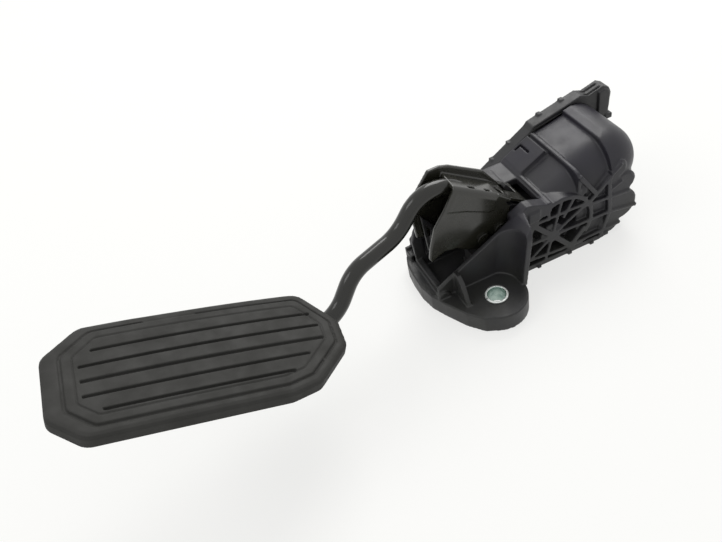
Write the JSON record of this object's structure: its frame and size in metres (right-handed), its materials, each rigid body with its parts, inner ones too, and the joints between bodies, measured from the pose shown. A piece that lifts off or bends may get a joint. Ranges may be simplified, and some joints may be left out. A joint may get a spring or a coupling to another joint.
{
  "type": "accelerator pedal",
  "caption": "Car accelerator pedal with a ribbed moulded housing, a pressed arm, a bent rod and a ribbed rubber pad on a sprung pivot.",
  "frame": {"origin": "centre of the near bolt hole on the mounting face", "axes": "+X along the unit from the pad to the connector, +Y along the pivot away from the ribbed side, +Z off the mounting face"},
  "size_m": [0.3109, 0.132, 0.0875],
  "materials": {
    "dark_nylon": "satin",
    "case_nylon": "satin",
    "seal_rubber": "matte",
    "board": "satin",
    "chip": "matte",
    "tinned_brass": "satin",
    "zinc_screw": "satin",
    "zinc_sleeve": "bright",
    "ground_steel": "satin",
    "spring_steel": "satin",
    "bush_bronze": "satin",
    "hub_nylon": "satin",
    "holder_nylon": "satin",
    "magnet": "satin",
    "black_steel": "gloss",
    "plate_steel": "satin",
    "pad_rubber": "matte",
    "seat_nylon": "satin",
    "friction_nylon": "matte",
    "stop_rubber": "matte"
  },
  "bodies": {
    "housing": {"housing_body": "dark_nylon", "sensor_case": "case_nylon", "sensor_gasket": "seal_rubber", "sensor_board": "board", "sensor_chips": "chip", "connector_terminals": "tinned_brass", "case_screws": "zinc_screw", "ear_sleeves": "zinc_sleeve", "pivot_shaft": "ground_steel", "shaft_clip": "spring_steel", "outer_spring": "spring_steel", "inner_spring": "spring_steel", "friction_block": "friction_nylon", "idle_stop": "stop_rubber", "full_travel_stop": "stop_rubber"},
    "lever": {"lever_hub": "hub_nylon", "pivot_bushes": "bush_bronze", "magnet_holder": "holder_nylon", "magnet_ring": "magnet", "pressed_arm": "black_steel", "arm_rivets": "black_steel", "bent_rod": "black_steel", "pad_plate": "plate_steel", "pad_rubber": "pad_rubber", "spring_seat": "seat_nylon"}
  },
  "joints": [
    {"name": "pedal_pivot", "type": "hinge", "parent": "housing", "child": "lever", "pos_m": [0.042, 0.035, 0.019], "axis": [0, -1, 0], "range_deg": [0, 12], "stiffness_Nm_per_rad": 5, "springref_deg": -28.65, "deforming": ["outer_spring", "inner_spring"]}
  ]
}
